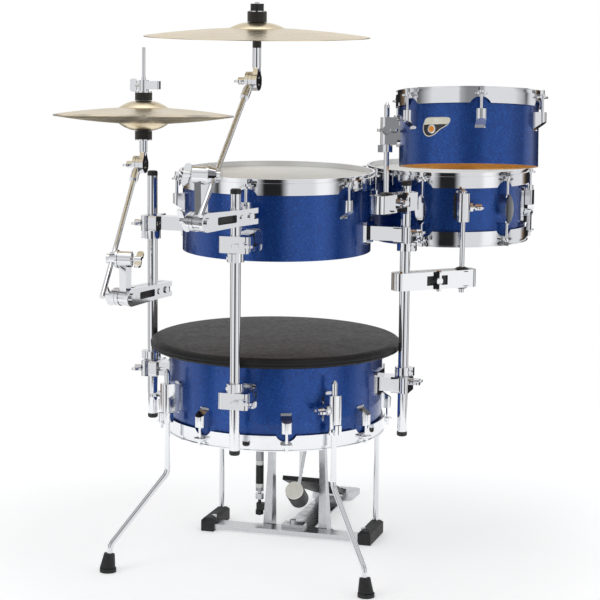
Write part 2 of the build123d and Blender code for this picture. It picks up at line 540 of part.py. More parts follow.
# strainer and butt
s = soft(box(R_SNARE - 3, R_SNARE + 6, -15, 15, -34, 34), 6, Axis.X)
s += soft(box(R_SNARE, R_SNARE + 20, -11, 11, 2, 30), 3, Axis.Z)
s += Pos(R_SNARE + 12, 0, 30) * Cylinder(8, 10, align=UP)
s -= Cylinder(R_SNARE, 200)
s -= Pos(R_SNARE + 14, 0, -14) * Rot(90, 0, 0) * Cylinder(9, 40)
for k in (-1, 1):
    s += Pos(R_SNARE + 12, k * 9.4, -14) * Rot(90, 0, 0) * Cylinder(6, 3)
    s += box(R_SNARE + 2, R_SNARE + 12, k * 9.4 - 1.5, k * 9.4 + 1.5, -20, -8)
s = s - Cylinder(R_SNARE, 200)
s -= Pos(R_SNARE + 12, 0, -14) * Rot(90, 0, 0) * Cylinder(2.55, 40)
add("snare_strainer", SF * (Rot(0, 0, STRAINER_ANG) * (Pos(0, 0, zc) * s)))
b = soft(box(R_SNARE - 3, R_SNARE + 11, -13, 13, -12, 12), 4, Axis.X) - Cylinder(R_SNARE, 200)
add("snare_strainer", SF * (Rot(0, 0, STRAINER_ANG + 180) * (Pos(0, 0, zc - 14) * b)))
lv = Pos(R_SNARE + 12, 0, 0) * Rot(90, 0, 0) * Cylinder(2.5, 21)
lv += Pos(R_SNARE + 12, 0, 0) * Rot(90, 0, 0) * Cylinder(5, 14)
lv += soft(box(R_SNARE + 10, R_SNARE + 17, -6.5, 6.5, -34, 2), 2, Axis.Z)
add("strainer_lever", SF * (Rot(0, 0, STRAINER_ANG) * (Pos(0, 0, zc - 14) * lv)))
w = [box(-105, 105, k * 3.0 - 0.6, k * 3.0 + 0.6, z0 - 2.2, z0 - 1.0) for k in range(-8, 9)]
w += [box(x, x + 9, -27, 27, z0 - 2.4, z0 - 0.8) for x in (-112, 103)]
acc = w[0]
for x in w[1:]:
    acc = acc + x
add("snare_wires", SF * (Rot(0, 0, STRAINER_ANG) * acc))

# ------------------------------------------------------------------ crash
X = Vector(1, 0, 0)
ball = CRASH_PIN - X * 11.8
rdir = (ball - CRASH_BACK).normalized()
CRASH_M = X
top = CRASH_PIVOT + Vector(0, 0, CRASH_ARM_H)
pt = ball + rdir * ((top.Y - ball.Y) / rdir.Y)
cl, arm, piv, top = arm_clamp((0, -250), CRASH_DIR, 673, 96, pt.Z - 673, 45, -1, CRASH_M)
add("crash_clamp", cl)
add("crash_arm", arm)
add("crash_boom", holder(top, CRASH_M, pt.X - top.X, rdir, pt), rod(pt - rdir * 100, ball - rdir * 25, ROD_R)
    + knuckle(CRASH_PIN, X, -1 * rdir, 46))
CRASH_TOP, CRASH_BOOM_AXIS = top, CRASH_M
CF = Pos(CRASH_C.X, CRASH_C.Y, CRASH_Z)
add("crash_tilter", tilter(CRASH_PIN, (0, 0, 1), X, 60)
    + CF * (disc(5.4, -20, 27.2) + disc(4.0, 27, 62.5) + disc(15, 45.6, 46.8)))
add("crash_felts", CF * (disc(11, 6.0, 24.6, 5.5) + disc(8, -18.9, 6.1, 5.5)), CF * disc(17.5, 27.1, 45.5, 4.1))
add("crash_nut", CF * disc(12, 46.9, 59.4, 4.1))
add("crash_cymbal", CF * cymbal(CRASH_R, 14.5, 50, 11, 1.2, 5.6))

# ----------------------------------------------------------------- hi-hat
hd = (HAT_TOP - HAT_LOW).normalized()
HAT_M = Vector(-hd.Y, hd.X, 0).normalized()
tp = HAT_PIVOT + Vector(0, 0, HAT_ARM_H)
best = (tp - HAT_LOW).dot(Vector(hd.X, hd.Y, 0)) / (hd.X ** 2 + hd.Y ** 2)
pt = HAT_LOW + hd * best
off = (pt - tp).dot(HAT_M)
cl, arm, piv, top = arm_clamp((-250, 0), HAT_DIR, 491, 94.5, pt.Z - 491, 45, -1, HAT_M)
pt = Vector(top.X, top.Y, pt.Z) + HAT_M * off
add("hat_clamp", cl)
add("hat_arm", arm)
HX = (X - HAT_AXIS * HAT_AXIS.X).normalized()
ball = HAT_PIN - HX * 11.8
hd = (ball - pt).normalized()
add("hat_boom", holder(top, HAT_M, off, hd, pt), rod(pt - hd * 100, ball - hd * 25, ROD_R)
    + knuckle(HAT_PIN, HX, -1 * hd, 46))
HAT_TOPP = top
HF = Plane(origin=HAT_SEAM, x_dir=HX, z_dir=HAT_AXIS)
s = tilter(HAT_PIN, HAT_AXIS, HX, 48)
s += HF * (disc(6.5, -62, -47) + disc(4.25, -48, 76) + disc(3.25, 76, 134) + disc(16, -48.4, -46.6))
add("hat_tilter", s)
add("hat_felts", HF * disc(17, -46.5, -30.0, 4.3))
low = mirror(cymbal(HAT_R, 13.8, 49, 14.4, 1.2, 4.35), Plane.XY)
add("hat_bottom", HF * (Pos(0, 0, -0.4) * low))
add("hat_top", HF * (Pos(0, 0, 0.4) * cymbal(HAT_R, 13.8, 49, 14.4, 1.2, 8.0)))
z = 30.0
cs = disc(17, z, z + 15, 8.0)
add("hat_pads", HF * cs, HF * disc(15, 12.0, 27.3, 8.0))
cb = disc(8.0, 10, z + 38) + disc(16, z + 15.1, z + 18) + disc(15, 8, 11.9)
cb += disc(10, z + 18, z + 40)
cb += soft(box(-4, 34, -7, 7, z + 22, z + 38), 3)
cb += Pos(-9, 0, z + 30) * Rot(0, -90, 0) * Cylinder(3.4, 8, align=UP)
cb += soft(Pos(-21, 0, z + 30) * Box(14, 4, 26), 5, Axis.Y)
cb -= disc(4.25 + RUN, 0, z + 60)
add("hat_clutch", HF * cb)

# -------------------------------------------------------------- shift, save
boxes = [s.bounding_box() for v in N.values() for s in v]
LOW = [min(getattr(b.min, k) for b in boxes) for k in "XYZ"]
HIGH = [max(getattr(b.max, k) for b in boxes) for k in "XYZ"]
SHIFT = (-(LOW[0] + HIGH[0]) / 2, -(LOW[1] + HIGH[1]) / 2, -LOW[2])
SIZE = [HIGH[k] - LOW[k] for k in range(3)]

if __name__ == "__main__":
    os.makedirs("parts", exist_ok=True)
    for name, solids in N.items():
        moved = [Pos(*SHIFT) * s for s in solids]
        export_step(moved[0] if len(moved) == 1 else Compound(children=moved), "parts/" + name + ".step")
    print(len(N), "nodes", SHIFT, SIZE)
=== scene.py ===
"""Compact stand-up drum kit: looks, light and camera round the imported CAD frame. Metres, +Z up."""
import json
import math

import bmesh
import bpy
from mathutils import Matrix, Vector, noise


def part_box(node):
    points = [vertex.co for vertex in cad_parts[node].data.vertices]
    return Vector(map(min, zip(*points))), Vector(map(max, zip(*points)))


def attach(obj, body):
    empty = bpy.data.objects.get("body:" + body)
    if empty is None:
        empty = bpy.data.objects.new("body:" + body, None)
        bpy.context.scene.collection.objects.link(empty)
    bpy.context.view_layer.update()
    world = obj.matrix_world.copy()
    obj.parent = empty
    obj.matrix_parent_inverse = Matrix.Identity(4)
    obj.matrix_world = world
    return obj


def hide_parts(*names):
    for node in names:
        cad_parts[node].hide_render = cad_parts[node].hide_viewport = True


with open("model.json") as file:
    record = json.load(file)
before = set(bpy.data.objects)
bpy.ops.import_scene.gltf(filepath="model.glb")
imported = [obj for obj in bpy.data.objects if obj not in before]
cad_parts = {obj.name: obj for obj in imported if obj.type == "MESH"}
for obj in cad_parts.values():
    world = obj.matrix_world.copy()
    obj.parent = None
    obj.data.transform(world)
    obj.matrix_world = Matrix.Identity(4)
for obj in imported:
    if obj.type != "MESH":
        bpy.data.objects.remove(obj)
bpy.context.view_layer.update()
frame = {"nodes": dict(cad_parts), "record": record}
MM = 0.001
TAU = 2 * math.pi
UP = Vector((0, 0, 1))
POST_AT = 250                       # mm from the bass drum's axis to each post

# ---------------------------------------------------------------- places
low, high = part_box("bass_shell")
AXIS = Vector(((low.x + high.x) / 2, (low.y + high.y) / 2, 0))     # bass drum's axis, on the floor


def axis_of(node):
    a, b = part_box(node)
    return (a + b) / 2


def kit(x, y, z):
    """Millimetres from the foot of the bass drum's axis."""
    return AXIS + Vector((x, y, z)) * MM


# ---------------------------------------------------------------- camera
CAMERA_AT = (1124.6, -3686.0, 1109.7)   # mm, from the foot of the bass drum's axis
YAW = 0.2844
PITCH = math.radians(9.18)              # and this far down
ROLL = 0.0102
SENSOR, LENS = 36.0, 123.15             # mm
cam = bpy.data.objects.new("camera", bpy.data.cameras.new("camera"))
bpy.context.scene.collection.objects.link(cam)
right = Vector((math.cos(YAW), math.sin(YAW), 0))
forward = Vector((-math.sin(YAW) * math.cos(PITCH), math.cos(YAW) * math.cos(PITCH), -math.sin(PITCH)))
up = right.cross(forward)
cam.matrix_world = (Matrix.Translation(kit(*CAMERA_AT))
                    @ Matrix((right, up, -forward)).transposed().to_4x4() @ Matrix.Rotation(ROLL, 4, "Z"))
cam.data.sensor_width = SENSOR
cam.data.lens = LENS
cam.data.clip_end = 60
bpy.context.scene.camera = cam


# ------------------------------------------------------- material helpers
class Tree:
    """A node tree, with short ways to add shader nodes to it."""

    def __init__(self, nt):
        self.nt = nt

    def node(self, kind, **props):
        n = self.nt.nodes.new(kind)
        for key, value in props.items():
            setattr(n, key, value)
        return n

    def put(self, socket, value):
        """Set a socket to a number or a colour, or link another node's output to it."""
        if isinstance(value, (int, float)):
            socket.default_value = value
        elif isinstance(value, (tuple, list, Vector)):
            socket.default_value = tuple(value) if len(value) == len(socket.default_value) else (*value, 1)
        else:
            self.nt.links.new(value, socket)

    def math(self, op, a, b=0.0):
        n = self.node("ShaderNodeMath", operation=op)
        self.put(n.inputs[0], a)
        self.put(n.inputs[1], b)
        return n.outputs[0]

    def vec(self, op, a, b=(0, 0, 0)):
        n = self.node("ShaderNodeVectorMath", operation=op)
        self.put(n.inputs[0], a)
        self.put(n.inputs[1], b)
        return n.outputs["Value" if op == "LENGTH" else "Vector"]

    def ramp(self, fac, *stops, ease="LINEAR"):
        n = self.node("ShaderNodeValToRGB")
        n.color_ramp.interpolation = ease
        while len(n.color_ramp.elements) < len(stops):
            n.color_ramp.elements.new(0.5)
        for e, (pos, c) in zip(n.color_ramp.elements, stops):
            e.position = pos
            e.color = (c, c, c, 1) if isinstance(c, (int, float)) else (*c, 1)
        self.put(n.inputs[0], fac)
        return n.outputs[0]

    def mix(self, fac, a, b, how="MIX"):
        n = self.node("ShaderNodeMix", data_type="RGBA", blend_type=how)
        self.put(n.inputs[0], fac)
        self.put(n.inputs[6], a)
        self.put(n.inputs[7], b)
        return n.outputs[2]


class Mat(Tree):
    """A Principled material whose patterns are placed in object coordinates."""

    def __init__(self, name, color, rough, metal=0.0, **sockets):
        self.mat = bpy.data.materials.new(name)
        self.mat.use_nodes = True
        super().__init__(self.mat.node_tree)
        self.out = self.nt.nodes["Principled BSDF"]
        self.out.inputs["Base Color"].default_value = (*color, 1)
        self.out.inputs["Roughness"].default_value = rough
        self.out.inputs["Metallic"].default_value = metal
        for key, value in sockets.items():
            self.out.inputs[key.replace("_", " ")].default_value = value
        self.mat.diffuse_color = (*color, 1)
        self.coord = self.node("ShaderNodeTexCoord").outputs["Object"]

    def noise(self, size_mm, detail=2.0, rough=0.5, stretch=(1, 1, 1)):
        n = self.node("ShaderNodeTexNoise")
        self.put(n.inputs["Vector"], self.vec("MULTIPLY", self.coord, stretch))
        n.inputs["Scale"].default_value = 1 / (size_mm * MM)
        n.inputs["Detail"].default_value = detail
        n.inputs["Roughness"].default_value = rough
        return n.outputs["Fac"]

    def cells(self, size_mm, out="Color"):
        n = self.node("ShaderNodeTexVoronoi")
        self.put(n.inputs["Vector"], self.coord)
        n.inputs["Scale"].default_value = 1 / (size_mm * MM)
        return n.outputs[out]

    def color(self, value):
        self.put(self.out.inputs["Base Color"], value)

    def rough(self, value):
        self.put(self.out.inputs["Roughness"], value)

    def bump(self, height, mm, strength=1.0):
        """Add a bump of this height in mm on top of any bump already there."""
        n = self.node("ShaderNodeBump")
        n.inputs["Strength"].default_value = strength
        n.inputs["Distance"].default_value = mm * MM
        self.put(n.inputs["Height"], height)
        old = self.out.inputs["Normal"].links
        if old:
            self.put(n.inputs["Normal"], old[0].from_socket)
        self.put(self.out.inputs["Normal"], n.outputs[0])

    def radius(self, centre, direction):
        """Distance of the shaded point from an axis, in metres."""
        arm = self.vec("SUBTRACT", self.coord, tuple(centre))
        return self.vec("LENGTH", self.vec("CROSS_PRODUCT", arm, tuple(Vector(direction).normalized())))


# ---------------------------------------------------------------- materials
def make_chrome(name, color=(0.77, 0.78, 0.80), rough=0.07, wave=0.05):
    m = Mat(name, color, rough, 1.0)
    m.rough(m.ramp(m.noise(22, 3), (0.35, rough * 0.75), (0.7, rough * 1.5)))
    m.bump(m.noise(16, 2), wave, 0.35)
    return m.mat


def make_lacquer():
    m = Mat("blue_sparkle_lacquer", (0.008, 0.05, 0.28), 0.30, 0.62,
            Coat_Weight=0.7, Coat_Roughness=0.03, Coat_IOR=1.28)
    base = m.mix(m.ramp(m.noise(2.6, 3, 0.7), (0.38, 0.0), (0.64, 1.0)),
                 (0.003, 0.022, 0.14), (0.010, 0.075, 0.36))
    fleck = m.ramp(m.cells(0.9), (0.0, 0.0), (0.50, 0.0), (0.78, 0.6), (1.0, 1.0))
    c = m.mix(fleck, base, (0.018, 0.13, 0.52))
    # painted highlight: a few flake cells get a brighter blue as painted glints
    glint = m.ramp(m.cells(1.2), (0.0, 0.0), (0.86, 0.0), (0.94, 1.0))
    m.color(m.mix(glint, c, (0.045, 0.22, 0.66)))
    m.rough(m.ramp(m.cells(0.9), (0.0, 0.38), (1.0, 0.24)))
    m.bump(m.cells(0.9), 0.06, 0.3)
    return m.mat


def make_wood():
    m = Mat("amber_maple", (0.78, 0.36, 0.06), 0.38, 0.0, Coat_Weight=0.35, Coat_Roughness=0.2)
    grain = m.noise(9, 5, 0.6, (1, 1, 14))
    m.color(m.mix(m.ramp(grain, (0.3, 0.0), (0.72, 1.0)), (0.95, 0.50, 0.10), (0.66, 0.28, 0.045)))
    m.bump(grain, 0.12, 0.4)
    return m.mat


def make_film(name, color, rough, tone):
    m = Mat(name, color, rough, 0.0, Coat_Weight=0.15, Coat_Roughness=0.35)
    m.color(m.mix(m.ramp(m.noise(60, 3), (0.3, 0.0), (0.75, 1.0)), color, tone))
    m.bump(m.noise(0.9, 3, 0.7), 0.05, 0.5)
    return m.mat


def make_bronze(name, centre, direction, tint=(0.86, 0.745, 0.53)):
    m = Mat(name, tint, 0.27, 1.0, Anisotropic=0.55)
    r = m.radius(centre, direction)
    fine = m.math("SINE", m.math("MULTIPLY", r, TAU / (0.9 * MM)))
    band = m.node("ShaderNodeTexNoise", noise_dimensions="1D")
    m.put(band.inputs["W"], r)
    band.inputs["Scale"].default_value = 1 / (7 * MM)
    band.inputs["Detail"].default_value = 4
    groove = m.math("ADD", m.math("MULTIPLY", fine, 0.35), band.outputs["Fac"])
    cloudy = m.noise(55, 3)
    tone = m.mix(m.ramp(band.outputs["Fac"], (0.3, 0.0), (0.7, 1.0)), tint, tuple(t * 0.86 for t in tint))
    m.color(m.mix(m.ramp(cloudy, (0.35, 0.0), (0.8, 0.45)), tone, (0.74, 0.56, 0.33)))
    m.rough(m.ramp(band.outputs["Fac"], (0.3, 0.21), (0.7, 0.34)))
    m.bump(groove, 0.05, 0.5)
    t = m.node("ShaderNodeTangent", direction_type="RADIAL", axis="Z")
    m.put(m.out.inputs["Tangent"], t.outputs[0])
    return m.mat


def make_vinyl():
    m = Mat("black_vinyl", (0.010, 0.010, 0.011), 0.45, 0.0, Sheen_Weight=0.04, Sheen_Roughness=0.4)
    m.out.inputs["Specular IOR Level"].default_value = 0.30
    grain = m.cells(1.3, "Distance")
    m.bump(m.noise(45, 3), 0.9, 0.35)
    m.bump(grain, 0.16, 0.55)
    m.color(m.mix(m.ramp(m.noise(70, 3), (0.3, 0.0), (0.75, 1.0)),
                  (0.006, 0.006, 0.007), (0.013, 0.013, 0.014)))
    m.rough(m.ramp(m.noise(8, 3), (0.3, 0.44), (0.7, 0.58)))
    return m.mat


def make_felt(name, color, fuzz=0.5):
    m = Mat(name, color, 0.95, 0.0, Sheen_Weight=0.4, Sheen_Roughness=0.6)
    m.color(m.mix(m.ramp(m.noise(1.2, 4, 0.7), (0.3, 0.0), (0.7, 1.0)), tuple(c * 0.7 for c in color),
                  tuple(min(1, c * 1.5) for c in color)))
    m.bump(m.noise(0.8, 4, 0.75), 0.5, fuzz)
    return m.mat


def make_moulded(name, color, rough, grain_mm=0.9, depth=0.08):
    m = Mat(name, color, rough)
    m.rough(m.ramp(m.noise(6, 3), (0.3, rough * 0.85), (0.7, min(1, rough * 1.2))))
    m.color(m.mix(m.ramp(m.noise(25, 3), (0.3, 0.0), (0.75, 1.0)),
                  color, tuple(min(1, c * 1.35 + .002) for c in color)))
    m.bump(m.noise(grain_mm, 3, 0.6), depth, 0.5)
    return m.mat


def make_brushed(name, color, rough, stretch):
    m = Mat(name, color, rough, 1.0)
    lines = m.noise(2.2, 4, 0.7, stretch)
    m.rough(m.ramp(lines, (0.3, rough * 0.8), (0.7, rough * 1.3)))
    m.bump(lines, 0.05, 0.5)
    return m.mat


def make_board():
    m = Mat("plywood", (0.46, 0.31, 0.18), 0.6)
    g = m.noise(12, 5, 0.6, (1, 9, 9))
    m.color(m.mix(m.ramp(g, (0.3, 0.0), (0.7, 1.0)), (0.55, 0.38, 0.22), (0.33, 0.21, 0.12)))
    m.bump(g, 0.2, 0.5)
    return m.mat


CHROME = make_chrome("chrome_plate")
CAST = make_chrome("satin_casting", (0.56, 0.57, 0.59), 0.26, 0.12)
LACQUER, WOOD = make_lacquer(), make_wood()
COATED = make_film("coated_film", (0.93, 0.92, 0.88), 0.5, (0.88, 0.87, 0.82))
CLEAR = make_film("hazy_film", (0.80, 0.81, 0.82), 0.3, (0.72, 0.73, 0.75))
RUBBER = make_moulded("black_rubber", (0.010, 0.010, 0.011), 0.6)
PLASTIC = make_moulded("black_plastic", (0.009, 0.009, 0.010), 0.38)
PAINT = make_moulded("black_powder_coat", (0.007, 0.007, 0.008), 0.5, 0.6, 0.05)
FELT = make_felt("black_felt", (0.012, 0.012, 0.012))
CREAM = make_felt("cream_felt", (0.80, 0.76, 0.62), 0.3)
ALUMINIUM = make_brushed("extruded_aluminium", (0.64, 0.65, 0.66), 0.28, (0.05, 1, 1))
STEEL = make_brushed("bright_steel", (0.68, 0.69, 0.70), 0.22, (1, 1, 0.1))
VINYL, BOARD = make_vinyl(), make_board()

SLOT_LOOK = {"chrome": CHROME, "blue_lacquer": LACQUER, "head_film": COATED, "clear_film": CLEAR,
             "rubber": RUBBER, "cover": VINYL, "board": BOARD, "felt": FELT, "black_plastic": PLASTIC,
             "aluminium": ALUMINIUM, "cast": CAST, "steel": STEEL, "black_paint": PAINT, "cream_felt": CREAM}
slots = {s["node"]: s["material_slot"] for s in frame["record"]["subparts"]}


def dress(obj, look):
    obj.data.materials.clear()
    obj.data.materials.append(look)


def paint(node, look, test):
    """Give the faces of a CAD node that pass test(centre, normal) another material."""
    me = frame["nodes"][node].data
    me.materials.append(look)
    k = len(me.materials) - 1
    for f in me.polygons:
        if test(f.center, f.normal):
            f.material_index = k


joints = {j["name"]: j for j in frame["record"]["behaviour"]["joints"]}
HAT_AXIS = Vector(joints["hat_lift"]["axis"])
TOM_AXIS = Vector(joints["tom_turn"]["axis"])
CRASH_C = Vector(joints["crash_spin"]["pos_m"])
HAT_C = axis_of("hat_top")

for name, obj in frame["nodes"].items():
    slot = slots[name]
    if slot == "bronze":
        c, d = (CRASH_C, UP) if name.startswith("crash") else (HAT_C, HAT_AXIS)
        dress(obj, make_bronze(name + "_bronze", c, d))
    else:
        dress(obj, SLOT_LOOK[slot])

# shells: lacquer outside, bare amber wood inside and on the bearing edges
for node, axis in (("bass_shell", UP), ("floor_tom_shell", UP), ("snare_shell", UP), ("tom_shell", TOM_AXIS)):
    c = axis_of(node)

    def inward(p, n, c=c, axis=axis):
        out = (p - c) - axis * (p - c).dot(axis)
        return n.dot(out.normalized()) < 0.5
    paint(node, WOOD, inward)


FLOOR_TOL, FACING = 0.05, 0.9       # mm off a window's floor, and how squarely its faces look sideways


def paint_window_shade(node, origin, along, half, sunk, spans):
    """Paint window floors black as painted recess shade, sunk mm into the sides half mm from a clamp's
    middle.

    Each span is (x0, x1, half height) in mm, along the clamp from origin.
    """
    across = Vector((-along.y, along.x, 0))

    def inside(p, n):
        q = (p - origin) / MM
        if abs(half - abs(q.dot(across)) - sunk) >= FLOOR_TOL or abs(n.dot(across)) <= FACING:
            return False
        return any(x0 < q.dot(along) < x1 and abs(q.z) < tall for x0, x1, tall in spans)
    # the black plastic look on these window floors is painted shade in the recesses
    paint(node, PLASTIC, inside)


# cymbal clamps: painted shade on the floors of a long window in front of the post and a short one behind it
for node, post, heading, far in (("crash_clamp", kit(0, -POST_AT, 673), (-0.35, -0.937, 0), 71),
                                 ("hat_clamp", kit(-POST_AT, 0, 491), (-0.22, -0.9755, 0), 70)):
    paint_window_shade(node, post, Vector(heading).normalized(), 15.5, 4.5, ((15, far, 8), (-47, -32, 6)))

# tom and snare clamps: painted shade on the floor of one window halfway between the post and the rod
for node, rod_node in (("snare_clamp", "snare_arm"), ("tom_clamp", "tom_arm")):
    post = kit(POST_AT, 0, 0)
    post.z = axis_of(node).z
    rod_at = axis_of(rod_node)
    reach_to = rod_at - post
    if node == "tom_clamp":         # its rod leans, so the reach is measured at the clamp's height
        reach_to += TOM_AXIS * ((post.z - rod_at.z) / TOM_AXIS.z)
    reach_to.z = 0
    middle = reach_to.length / MM / 2
    paint_window_shade(node, post, reach_to.normalized(), 16, 3.2, ((middle - 23, middle + 23, 10),))


# the pedal spring wears a black sleeve between two white rings, and its adjuster is black
def make_spring():
    m = Mat("sleeved_spring", (0.6, 0.61, 0.62), 0.3, 1.0)
    z = m.node("ShaderNodeSeparateXYZ")
    m.put(z.inputs[0], m.coord)
    tall = m.math("MULTIPLY", z.outputs[2], 1 / (200 * MM))
    white = (0.85, 0.85, 0.83)
    m.color(m.ramp(tall, (0.0, (0.55, 0.56, 0.57)), (0.415, white), (0.455, (0.010, 0.010, 0.011)),
                   (0.645, white), (0.69, (0.50, 0.51, 0.52)), ease="CONSTANT"))
    m.put(m.out.inputs["Metallic"], m.ramp(tall, (0.0, 1.0), (0.415, 0.0), (0.69, 1.0), ease="CONSTANT"))
    m.bump(m.math("SINE", m.math("MULTIPLY", z.outputs[2], TAU / (2.6 * MM))), 0.5, 0.6)
    return m.mat


dress(frame["nodes"]["pedal_spring"], make_spring())
spring = axis_of("pedal_spring")
paint("pedal_uprights", PLASTIC,
      lambda p, n: math.hypot(p.x - spring.x, p.y - spring.y) < 15 * MM and 27 < p.z / MM < 60)


# ---------------------------------------------------------------- new pieces
def new_object(name, verts, faces, look, smooth=True):
    me = bpy.data.meshes.new(name)
    me.from_pydata([tuple(v) for v in verts], [], faces)
    me.update()
    obj = bpy.data.objects.new(name, me)
    bpy.context.scene.collection.objects.link(obj)
    me.materials.append(look)
    if smooth:
        me.polygons.foreach_set("use_smooth", [True] * len(me.polygons))
    return obj


def lathe(name, profile, look, origin, axis=(0, 0, 1), n=64, change=None):
    """Turn a closed loop of (radius, height) in mm about an axis; change(a, i, r, z) may move a point."""
    rot = UP.rotation_difference(Vector(axis)).to_matrix()
    verts, faces = [], []
    k = len(profile)
    for j in range(n):
        a = TAU * j / n
        for i, (r, z) in enumerate(profile):
            if change:
                r, z = change(a, i, r, z)
            verts.append(Vector(origin) + rot @ Vector((r * math.cos(a), r * math.sin(a), z)) * MM)
    for j in range(n):
        for i in range(k):
            a, b = j * k + i, j * k + (i + 1) % k
            c, d = ((j + 1) % n) * k + (i + 1) % k, ((j + 1) % n) * k + i
            faces.append((a, d, c, b))
    obj = new_object(name, verts, faces, look)
    bm = bmesh.new()
    bm.from_mesh(obj.data)
    bmesh.ops.remove_doubles(bm, verts=bm.verts, dist=1e-6)
    bmesh.ops.recalc_face_normals(bm, faces=bm.faces)
    bm.to_mesh(obj.data)
    bm.free()
    return obj


# pad cover: crowned top, rolled edge, seam and gathered skirt tucked under the board
PAD_TOP, BOARD_R = 420.0, 230.3
CROWN, DROP, TOP_R = 1.6, 5.2, 222      # mm: rise at the middle, fall to the rim, and the rim's radius
top_rows = [(r, PAD_TOP + CROWN - DROP * (r / TOP_R) ** 4) for r in range(4, TOP_R + 1, 7)]
edge = [(227, 416.6), (231.5, 415.2), (235, 413.2), (237.4, 410.6), (238.4, 408), (238.2, 406.2),
        (236.6, 405.2), (236.4, 404.6), (237.6, 403.8), (237.8, 402), (236.6, 399.9), (233.6, 398.2),
        (229.5, 397.4), (225, 397.5), (220, 398.6), (216, 400.6), (214.6, 402.9)]
inner = [(BOARD_R - 1, 402.95), (BOARD_R + .05, 403.4), (BOARD_R + .05, 411.6), (BOARD_R - 1, 412.25),
         (120, 412.3), (4, 412.3)]
pad_profile = [(0.0, PAD_TOP + CROWN)] + top_rows + edge + inner + [(0.0, 412.3)]
N_TOP, N_EDGE = len(top_rows) + 1, len(edge)


def pad_shape(a, i, r, z):
    p = Vector((r * math.cos(a), r * math.sin(a), z))
    if i < N_TOP:                                  # slack fabric: long soft swells, growing towards the edge
        k = min(1.0, r / 150.0)
        z += k * (1.3 * noise.noise(p / 95.0) + 0.45 * noise.noise(p / 31.0))
    elif i < N_TOP + N_EDGE:
        t = (i - N_TOP) / N_EDGE                   # gathers, stronger where the skirt tucks under
        fold = noise.noise(Vector((math.cos(a), math.sin(a), 0)) * 9.0 + Vector((0, 0, 3.3)))
        r += 0.7 * noise.noise(p / 24.0) - 1.3 * t * abs(fold) + 0.25 * t * math.sin(a * 64)
        z += 0.5 * t * fold
    return r, z


cover = lathe("pad_cover_fabric", pad_profile, VINYL, AXIS, n=256, change=pad_shape)
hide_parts("pad_cover")
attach(cover, "bass_drum")


def smooth_loop(points, n=6):
    """Catmull-Rom through a closed loop of (u, v) points."""
    out, k = [], len(points)
    for i in range(k):
        p0, p1, p2, p3 = (Vector(points[(i + j - 1) % k]) for j in range(4))
        for s in range(n):
            t = s / n
            out.append(0.5 * (2 * p1 + (p2 - p0) * t + (2 * p0 - 5 * p1 + 4 * p2 - p3) * t * t
                              + (3 * p1 - p0 - 3 * p2 + p3) * t ** 3))
    return out


RINGS = (1.0, 0.985, 0.8, 0.6, 0.4, 0.2, 0.04)      # a plate's rings, from its edge in towards its star point


def shell_plate(name, centre, axis, radius, angle, v0, loop, star, h, look):
    """A plate h mm proud of a round shell: its edge is a loop of (u, v) mm, and its rings shrink to star."""
    axis = Vector(axis)
    x = (Vector((1, 0, 0)) - axis * axis.x).normalized()
    y = axis.cross(x)

    def put(u, v, r):
        a = angle + u / radius
        return Vector(centre) + (x * math.cos(a) + y * math.sin(a)) * r * MM + axis * (v + v0) * MM
    star = Vector(star)
    verts, faces, n = [], [], len(loop)
    for p in loop:
        verts.append(put(p.x, p.y, radius - 0.1))
    for k, f in enumerate(RINGS):
        for p in loop:
            q = star + (p - star) * f
            verts.append(put(q.x, q.y, radius + h - (0.25 if k == 0 else 0)))
    for k in range(len(RINGS)):
        for i in range(n):
            j = (i + 1) % n
            faces.append((k * n + i, k * n + j, (k + 1) * n + j, (k + 1) * n + i))
    verts.append(put(star.x, star.y, radius + h))
    for i in range(n):
        faces.append((len(RINGS) * n + i, len(RINGS) * n + (i + 1) % n, len(verts) - 1))
    return new_object(name, verts, faces, look)


def ring_loop(cx, cy, r, n=40):
    return [Vector((cx + r * math.cos(TAU * i / n), cy + r * math.sin(TAU * i / n))) for i in range(n)]


# tom badge: a plain enamelled plate with a round stud, no lettering
TOM_R = 127.0
tom_c = axis_of("tom_shell")
badge_at = kit(333.5, -100.5, 832) - tom_c
badge_v = badge_at.dot(TOM_AXIS) / MM
tx = (Vector((1, 0, 0)) - TOM_AXIS * TOM_AXIS.x).normalized()
badge_angle = math.atan2(badge_at.dot(TOM_AXIS.cross(tx)), badge_at.dot(tx))
badge_edge = [(-18.2, 16.6), (3, 17.2), (23.6, 16.6), (27.9, 11.9), (23.2, 3.4), (9.6, -4.7), (-2.4, -13.6),
              (-12.6, -17), (-21.2, -14.5), (-26.3, -7.7), (-27.3, 0), (-24.6, 9)]
IVORY = make_moulded("ivory_enamel", (0.78, 0.73, 0.62), 0.3)
JET = make_moulded("black_enamel", (0.02, 0.02, 0.022), 0.25)
AMBER = make_moulded("amber_enamel", (0.75, 0.27, 0.02), 0.25)
STAR, STUD_AT = Vector((-8, 0)), (-7.9, -3.4)
plate = smooth_loop(badge_edge)
field = [Vector((p.x, min(p.y, 4.6))) for p in (STAR + (p - STAR) * 0.9 for p in plate)]
for name, pts, mid_uv, h, look in (("tom_badge_plate", plate, STAR, 0.9, IVORY),
                                   ("tom_badge_field", field, (-8, -3), 1.15, JET),
                                   ("tom_badge_ring", ring_loop(*STUD_AT, 8.0), STUD_AT, 1.7, CHROME),
                                   ("tom_badge_stud", ring_loop(*STUD_AT, 5.4), STUD_AT, 2.2, AMBER)):
    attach(shell_plate(name, tom_c, TOM_AXIS, TOM_R, badge_angle, badge_v, pts, mid_uv, h, look), "tom")

